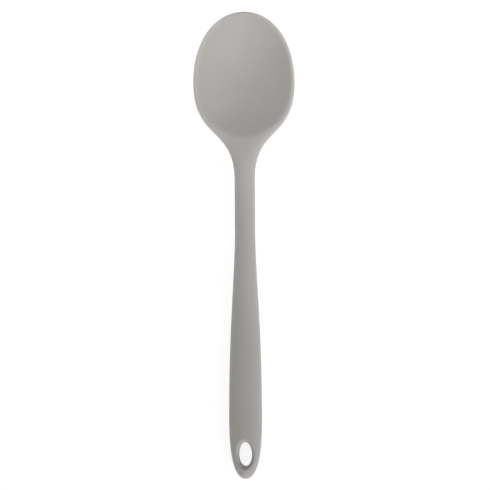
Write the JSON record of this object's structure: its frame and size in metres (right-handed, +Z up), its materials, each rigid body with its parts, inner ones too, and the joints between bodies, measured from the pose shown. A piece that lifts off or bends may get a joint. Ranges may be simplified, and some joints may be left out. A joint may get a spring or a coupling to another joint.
{
  "type": "silicone spoon",
  "caption": "One-piece silicone spoon with an oval dished bowl, slim round neck, tapering oval grip and an oval hanging eye, moulded over a stiff nylon core.",
  "frame": {"origin": "on the table plane, under the middle of the spoon's length and width", "axes": "+X across the spoon, +Y along it towards the tip of the bowl, +Z up out of the open side of the bowl"},
  "size_m": [0.0434, 0.2, 0.0126],
  "materials": {
    "silicone": "satin",
    "nylon": "matte"
  },
  "bodies": {
    "root": {"nylon_core": "nylon", "silicone_front": "silicone", "silicone_back": "silicone"}
  },
  "joints": []
}
